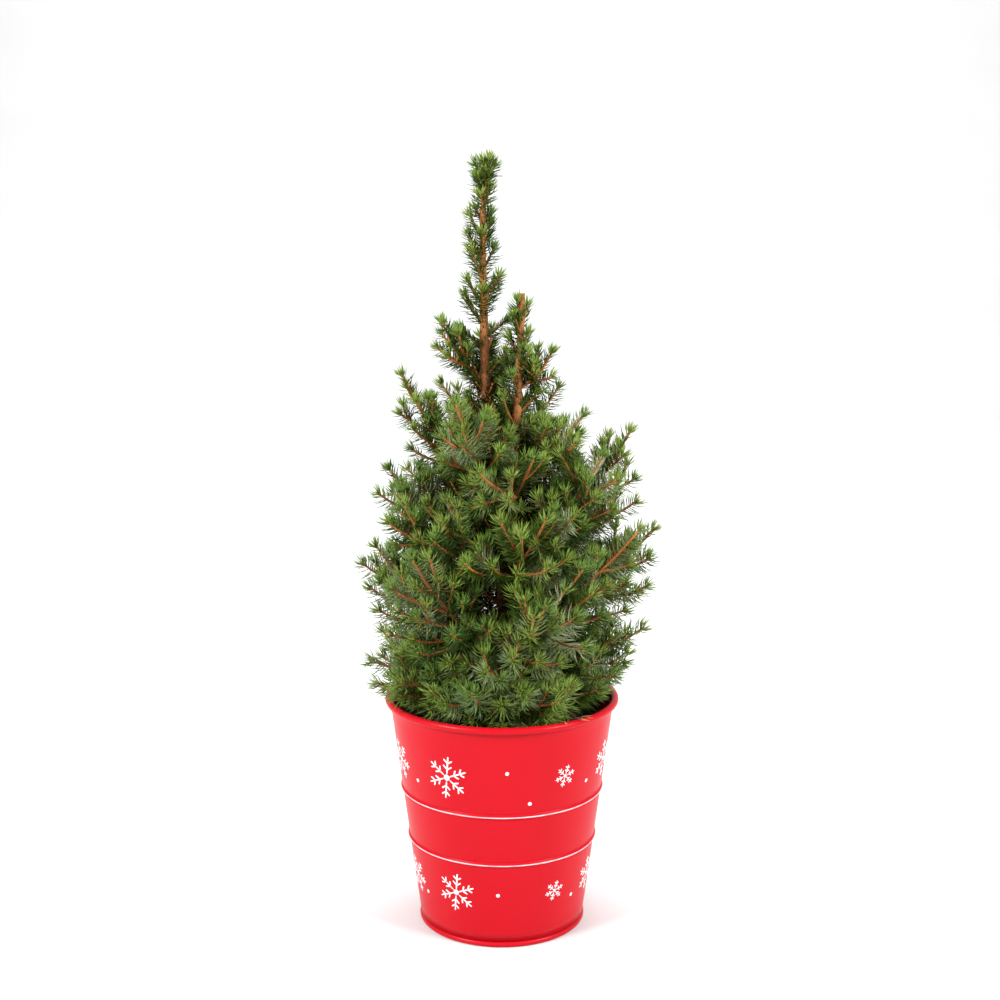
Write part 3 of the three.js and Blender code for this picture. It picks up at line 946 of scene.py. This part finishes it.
def print_mesh():
    """The print as thin raised ink: a top face and a rim down to the paint for each shape."""
    verts, tops, rims, base = [], [], [], 0
    for outline, heading, height in print_shapes():
        count = len(outline)
        top = on_wall(*outline.T, heading, height, PRINT_THICKNESS)
        foot = on_wall(*outline.T, heading, height, -0.05)
        middle = on_wall(*outline.mean(0)[:, None], heading, height, PRINT_THICKNESS)
        verts.append(np.vstack([top, foot, middle]))
        ring = np.arange(count)
        nxt = (ring + 1) % count
        tops.append(np.stack([ring, nxt, np.full(count, 2 * count)], axis=1) + base)
        rims.append(np.stack([ring, ring + count, nxt + count, nxt], axis=1) + base)
        base += 2 * count + 1
    return np.concatenate(verts), [np.concatenate(tops), np.concatenate(rims)]


def bead_lines():
    """A fine pale line rolled round the crest of each bead: a painted highlight where the crest
    catches the light.
    """
    verts, faces, segments = [], [], 256
    section = ((-0.34, -0.05), (-0.3, 0.1), (0, 0.13), (0.3, 0.1), (0.34, -0.05))
    for k, bead in enumerate(BEADS):
        profile = [(float(wall_radius(bead + up)) + lift, bead + up) for up, lift in section]
        verts.append(lathe_points(profile, segments))
        faces.append(grid_faces(len(section), segments, True) + k * len(section) * segments)
    return np.concatenate(verts), np.concatenate(faces)


# --- compost ---


def compost_top():
    """An uneven bed of compost, a little lower at the wall."""
    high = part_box("compost")[1]
    rng = dice(1)
    rings, sides = 34, 96
    edge = float(wall_radius(high.z / MM - 3)) - SHEET - 0.1
    radius = np.linspace(0.2, edge, rings)[:, None]
    turn = round_turns(sides)[None, :]
    x, y = radius * np.cos(turn), radius * np.sin(turn)
    height = high.z / MM - 0.4 - 2.4 * (radius / edge) ** 3 + 0 * turn
    for _ in range(26):
        fx, fy, phase = rng.normal(0, 0.35, 2).tolist() + [rng.uniform(0, 6)]
        height = height + 0.16 * np.sin(fx * x + fy * y + phase)
    height = height + rng.normal(0, 0.22, height.shape)
    height[0] = height[0].mean()
    points = np.stack([x, y, height], axis=-1).reshape(-1, 3) * MM
    return points, grid_faces(rings, sides)


def crumbs(rng):
    """Broken lumps of compost and bark, as small uneven five-cornered blocks."""
    solid = np.array([(1, 1, 1), (-1, -1, 1), (-1, 1, -1), (1, -1, -1), (0, 0, 1.7)], float)
    corners = ((0, 2, 1), (0, 3, 2), (1, 2, 3), (0, 4, 3), (1, 3, 4), (0, 1, 4))
    verts, faces = [], []
    top = BED_TOP * MM
    for i in range(CRUMBS):
        turn, reach = rng.uniform(0, 2 * math.pi), BED_RADIUS * math.sqrt(rng.random()) * MM
        size = rng.uniform(*CRUMB_SIZES) * MM
        lump = (solid + rng.normal(0, 0.3, solid.shape)) * size * rng.uniform(0.4, 1, 3)
        level = top - 0.6 * MM - 2.2 * MM * (reach / (BED_RADIUS * MM)) ** 3
        centre = np.array([reach * math.cos(turn), reach * math.sin(turn), level])
        verts.append(lump + centre)
        faces += [[5 * i + c for c in corner] for corner in corners]
    return np.concatenate(verts), np.array(faces)


# --- materials ---


def put(inputs, **values):
    """Sets plain values on a node's sockets."""
    for label, value in values.items():
        inputs[label.replace("_", " ")].default_value = value


def node_group(name, inputs, output):
    group = bpy.data.node_groups.new(name, "ShaderNodeTree")
    for label, value in inputs.items():
        socket = group.interface.new_socket(label, in_out="INPUT", socket_type="NodeSocketFloat")
        socket.default_value = value
    group.interface.new_socket(output, in_out="OUTPUT", socket_type="NodeSocketFloat")
    return group, group.nodes.new("NodeGroupInput"), group.nodes.new("NodeGroupOutput")


def make_mottle():
    """Soft cloudy patches: how strongly each place takes a second colour."""
    inputs = {"Scale": 200, "Detail": 4, "Low": 0.4, "High": 0.6}
    group, given, out = node_group("mottle", inputs, "Mask")
    place = group.nodes.new("ShaderNodeTexCoord")
    noise = group.nodes.new("ShaderNodeTexNoise")
    spread = group.nodes.new("ShaderNodeMapRange")
    link = group.links.new
    link(place.outputs["Object"], noise.inputs["Vector"])
    for label in ("Scale", "Detail"):
        link(given.outputs[label], noise.inputs[label])
    link(noise.outputs["Fac"], spread.inputs["Value"])
    link(given.outputs["Low"], spread.inputs["From Min"])
    link(given.outputs["High"], spread.inputs["From Max"])
    link(spread.outputs["Result"], out.inputs["Mask"])
    return group


def make_ridges():
    """Fine lengthwise ridges of young bark, as a height."""
    group, given, out = node_group("bark_ridges", {"Scale": 900, "Stretch": 0.25}, "Height")
    place = group.nodes.new("ShaderNodeTexCoord")
    stretch = group.nodes.new("ShaderNodeMapping")
    joined = group.nodes.new("ShaderNodeCombineXYZ")
    noise = group.nodes.new("ShaderNodeTexNoise")
    link = group.links.new
    put(joined.inputs, X=1, Y=1)
    link(given.outputs["Stretch"], joined.inputs["Z"])
    link(place.outputs["Object"], stretch.inputs["Vector"])
    link(joined.outputs["Vector"], stretch.inputs["Scale"])
    link(stretch.outputs["Vector"], noise.inputs["Vector"])
    link(given.outputs["Scale"], noise.inputs["Scale"])
    put(noise.inputs, Detail=3)
    link(noise.outputs["Fac"], out.inputs["Height"])
    return group


MOTTLE = make_mottle()
RIDGES = make_ridges()


class Finish:
    """A material being built round one Principled shader."""

    def __init__(self, name, roughness, **plain):
        self.material = bpy.data.materials.new(name)
        self.material.use_nodes = True
        self.nodes = self.material.node_tree.nodes
        self.link = self.material.node_tree.links.new
        self.shader = self.nodes["Principled BSDF"]
        put(self.shader.inputs, Roughness=roughness, **plain)

    def group(self, tree, **values):
        node = self.nodes.new("ShaderNodeGroup")
        node.node_tree = tree
        put(node.inputs, **values)
        return node.outputs[0]

    def blend(self, mask, first, second):
        """A colour that goes from first to second by a mask. Either may be a socket."""
        mix = self.nodes.new("ShaderNodeMix")
        mix.data_type = "RGBA"
        self.link(mask, mix.inputs["Factor"])
        for label, colour in (("A", first), ("B", second)):
            if isinstance(colour, tuple):
                mix.inputs[label].default_value = (*colour, 1)
            else:
                self.link(colour, mix.inputs[label])
        return mix.outputs["Result"]

    def colour(self, socket):
        self.link(socket, self.shader.inputs["Base Color"])

    def rough(self, mask, low, high):
        spread = self.nodes.new("ShaderNodeMapRange")
        put(spread.inputs, To_Min=low, To_Max=high)
        self.link(mask, spread.inputs["Value"])
        self.link(spread.outputs["Result"], self.shader.inputs["Roughness"])

    def bump(self, height, strength, distance):
        node = self.nodes.new("ShaderNodeBump")
        put(node.inputs, Strength=strength, Distance=distance)
        self.link(height, node.inputs["Height"])
        self.link(node.outputs["Normal"], self.shader.inputs["Normal"])


def mottled(name, roughness, scale, detail, low, high, first, second, bump=None):
    """A finish of two colours in cloudy patches, which may also stand up a little."""
    finish = Finish(name, roughness)
    mask = finish.group(MOTTLE, Scale=scale, Detail=detail, Low=low, High=high)
    finish.colour(finish.blend(mask, first, second))
    if bump:
        finish.bump(mask, *bump)
    return finish.material


def red_enamel():
    coat = {"Coat_Weight": 0.03, "Coat_Roughness": 0.15}
    finish = Finish("red_enamel", 0.34, Specular_IOR_Level=0.1, **coat)
    cloud = finish.group(MOTTLE, Scale=14, Detail=2, Low=0.2, High=0.8)
    fine = finish.group(MOTTLE, Scale=1500, Detail=2, Low=0.3, High=0.7)
    base = finish.blend(cloud, (0.425, 0.003, 0.01), (0.45, 0.005, 0.013))
    finish.colour(finish.blend(fine, base, (0.48, 0.004, 0.01)))
    finish.rough(fine, 0.3, 0.36)
    finish.bump(fine, 0.04, 0.0002)
    return finish.material


def pale_line():
    # Painted highlight for the bead crests, pale pink in cloudy patches.
    return mottled("pale_line", 0.4, 160, 4, 0.45, 0.7, (0.88, 0.55, 0.57), (0.8, 0.3, 0.33))


def white_ink():
    pale, worn = (0.93, 0.88, 0.88), (0.9, 0.5, 0.52)
    return mottled("white_ink", 0.5, 1300, 4, 0.52, 0.7, pale, worn, (0.1, 0.0001))


def stem_bark(name, light, dark, deep):
    finish = Finish(name, 0.8, Specular_IOR_Level=0.25)
    broad = finish.group(MOTTLE, Scale=260, Detail=5, Low=0.38, High=0.62)
    small = finish.group(MOTTLE, Scale=1400, Detail=3, Low=0.45, High=0.7)
    ridge = finish.group(RIDGES, Scale=1500, Stretch=0.3)
    finish.colour(finish.blend(small, finish.blend(broad, light, dark), deep))
    finish.rough(broad, 0.7, 0.9)
    finish.bump(ridge, 0.5, 0.0004)
    return finish.material


def cut_wood():
    return mottled("cut_wood", 0.75, 900, 3, 0.4, 0.65, (0.78, 0.36, 0.2), (0.6, 0.24, 0.11))


def compost_brown():
    finish = Finish("compost_brown", 0.95)
    lumps = finish.group(MOTTLE, Scale=320, Detail=6, Low=0.4, High=0.62)
    specks = finish.group(MOTTLE, Scale=1700, Detail=2, Low=0.6, High=0.72)
    base = finish.blend(lumps, (0.012, 0.008, 0.006), (0.04, 0.024, 0.014))
    finish.colour(finish.blend(specks, base, (0.12, 0.07, 0.04)))
    finish.bump(lumps, 0.7, 0.001)
    return finish.material


def plain_needle(name, colour, roughness, specular):
    """A needle colour. It stays plain, so that each spray keeps its own."""
    colour = (*colour, 1)
    return Finish(name, roughness, Specular_IOR_Level=specular, Base_Color=colour).material


GREENS = {
    # The inner greens, near black, are painted shade on top of the darker tone of older needles.
    "inner": ((0.01, 0.018, 0.001), (0.014, 0.023, 0.002), (0.019, 0.021, 0.002)),
    "summer": ((0.03, 0.058, 0.003), (0.044, 0.076, 0.006), (0.024, 0.052, 0.006)),
    "light": ((0.12, 0.165, 0.036), (0.145, 0.185, 0.046), (0.1, 0.155, 0.05)),
    # The whitish greens are partly the needles' real waxy bloom and partly painted sheen.
    "silvered": ((0.195, 0.245, 0.105), (0.155, 0.205, 0.08), (0.245, 0.29, 0.145)),
    "young": ((0.12, 0.19, 0.024), (0.155, 0.225, 0.036), (0.092, 0.165, 0.024)),
}
GLOSS = {"inner": 0.03, "summer": 0.14, "light": 0.35, "silvered": 0.5, "young": 0.18}
WAX = 0.36


def needle_materials(kind):
    names = [f"{kind}_green_{k + 1}" for k in range(3)]
    return [plain_needle(n, c, WAX, GLOSS[kind]) for n, c in zip(names, GREENS[kind])]


# --- stage ---


def make_floor():
    """A pale floor that curves up into a backdrop."""
    grey, pale = (0.66, 0.66, 0.66), (0.68, 0.68, 0.68)
    paper = mottled("studio_paper", 0.9, 6, 2, 0.3, 0.7, grey, pale)
    curve = [(-4.0, 0.0), (0.8, 0.0)]
    for a in np.radians(np.linspace(-90, 0, 16)):
        curve.append((2.2 + 1.4 * math.cos(a), 1.4 + 1.4 * math.sin(a)))
    curve.append((3.6, 5.0))
    rows = [[(-5.0, y, z), (5.0, y, z)] for y, z in curve]
    verts = np.array(rows).reshape(-1, 3)
    faces = np.array([(2 * i, 2 * i + 1, 2 * i + 3, 2 * i + 2) for i in range(len(curve) - 1)])
    floor = mesh_piece("studio_floor", (verts, faces), [paper])


def area_light(name, place, target, size, power):
    light = bpy.data.lights.new(name, "AREA")
    light.size = size
    light.energy = power
    lamp = placed(name, light)
    lamp.location = place
    lamp.rotation_euler = (Vector(target) - Vector(place)).to_track_quat("-Z", "Y").to_euler()


def make_studio():
    scene = bpy.context.scene
    world = bpy.data.worlds.new("soft_white")
    world.use_nodes = True
    sky = world.node_tree.nodes["Background"]
    put(sky.inputs, Color=(1, 1, 1, 1), Strength=SKY_STRENGTH)
    scene.world = world
    scene.view_settings.view_transform = "Standard"
    for light in LIGHTS:
        area_light(*light)
    camera = placed("camera", bpy.data.cameras.new("camera"))
    camera.data.lens = LENS
    camera.data.clip_start = 0.05
    camera.location = (CAMERA_ASIDE, -CAMERA_BACK, CAMERA_UP)
    camera.rotation_euler = (math.radians(90 - CAMERA_PITCH), 0, 0)
    scene.camera = camera


# --- assembly ---


def settle(piece, slot, *nodes):
    """Every piece rides on the plant's one body, and the frame nodes it stands for are hidden. The
    slot it is given is not used.
    """
    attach(piece, "root")
    if nodes:
        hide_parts(*nodes)


def make_pot():
    paint = red_enamel()
    wall = turned_piece("pot_wall_and_rim", pot_profile(), paint, True)
    settle(wall, "red_paint", "pot_body")
    foot = turned_piece("pot_foot", foot_profile(), paint, False)
    settle(foot, "red_paint", "pot_base")
    ink = mesh_piece("snowflake_print", print_mesh(), [white_ink()], smooth=False)
    settle(ink, "red_paint")
    # The pale lines on the bead crests are a painted highlight.
    settle(mesh_piece("bead_lines", bead_lines(), [pale_line()]), "red_paint")


def make_compost():
    material = compost_brown()
    settle(mesh_piece("compost_bed", compost_top(), [material]), "compost", "compost")
    lumps = crumbs(dice(2))
    settle(mesh_piece("compost_crumbs", lumps, [material], smooth=False), "compost")


def make_fallen_needles():
    verts, faces, tones = needle_mesh(fallen_needles(dice(6)))
    straw = plain_needle("dry_straw", (0.5, 0.3, 0.13), 0.6, 0.32)
    settle(mesh_piece("fallen_needles", (verts, faces), [straw], tones), "needles")


def barked(line, radii, step, sides, depth, rng):
    """A limb's smooth line, and its tube with the bark's relief and a number of sides."""
    line, radii = smooth_line(line, radii, step * MM)
    return line, (tube(line, radii, sides, bark_relief(depth * MM, rng)), sides)


def make_stems():
    rng = dice(3)
    tan = stem_bark("tan_bark", (0.42, 0.165, 0.05), (0.28, 0.1, 0.03), (0.12, 0.042, 0.016))
    brown = stem_bark("brown_bark", (0.26, 0.1, 0.035), (0.15, 0.06, 0.025), (0.06, 0.027, 0.014))
    sides = TRUNK_SIDES
    line, part = barked(trunk_line, trunk_radii, 0.6, sides, 0.16, rng)
    height = np.repeat((line[:-1, 2] + line[1:, 2]) / 2, sides)
    turn = np.tile(np.arange(sides), len(line) - 1) * 2 * math.pi / sides
    ragged = BARK_BREAK + 0.008 * np.sin(2 * turn + 1) + 0.005 * np.sin(5 * turn)
    slots = np.concatenate([(height < ragged).astype(int), np.zeros(sides - 2, int)])
    trunk = mesh_piece("trunk_bark", joined_tubes([part]), [tan, brown], slots)
    settle(trunk, "bark", "trunk")
    _, part = barked(second_line, second_radii, 0.6, SECOND_SIDES, 0.14, rng)
    shape = joined_tubes([part])
    slots = np.repeat([0, 1], [len(group) for group in shape[1]])
    second = mesh_piece("second_leader_bark", shape, [tan, cut_wood()], slots)
    settle(second, "bark", "second_leader")


def make_boughs(boughs):
    rng = dice(4)
    parts = [barked(b.line, b.radii, 0.8, BOUGH_SIDES, 0.1, rng)[1] for b in boughs]
    bark = stem_bark("bough_bark", (0.4, 0.135, 0.034), (0.27, 0.088, 0.022), (0.12, 0.04, 0.013))
    settle(mesh_piece("bough_bark", joined_tubes(parts), [bark]), "twig_bark", *BOUGH_NODES)


def make_twigs(shoots):
    bark = stem_bark("twig_bark", (0.42, 0.145, 0.034), (0.31, 0.095, 0.02), (0.17, 0.052, 0.014))
    settle(mesh_piece("twigs", joined_tubes(twig_parts(shoots)), [bark]), "twig_bark")
    tips = bud_mesh([s for s in shoots if not s.inner])
    bud = stem_bark("bud_scales", (0.34, 0.2, 0.06), (0.26, 0.16, 0.05), (0.16, 0.09, 0.03))
    settle(mesh_piece("buds", tips, [bud]), "twig_bark")


def make_needles(shoots):
    rng = dice(5)
    store = {kind: [] for kind in GREENS}
    for shoot in shoots:
        lay_needles(shoot, store, rng)
    for kind, rows in store.items():
        materials = needle_materials(kind)
        batch, size, number = [], 0, 1
        for row in rows + [None]:
            if batch and (row is None or size + len(row[0]) > NEEDLE_BATCH):
                verts, faces, tones = needle_mesh(batch)
                piece = mesh_piece(f"{kind}_needles_{number}", (verts, faces), materials, tones)
                settle(piece, "needles", *MASS_NODES)
                batch, size, number = [], 0, number + 1
            if row is not None:
                batch.append(row)
                size += len(row[0])


make_studio()
make_floor()
make_pot()
make_compost()
shoots, boughs, leaders = grow_plant()
make_fallen_needles()
make_stems()
make_boughs(boughs)
make_twigs(shoots)
make_needles(shoots + boughs + leaders)
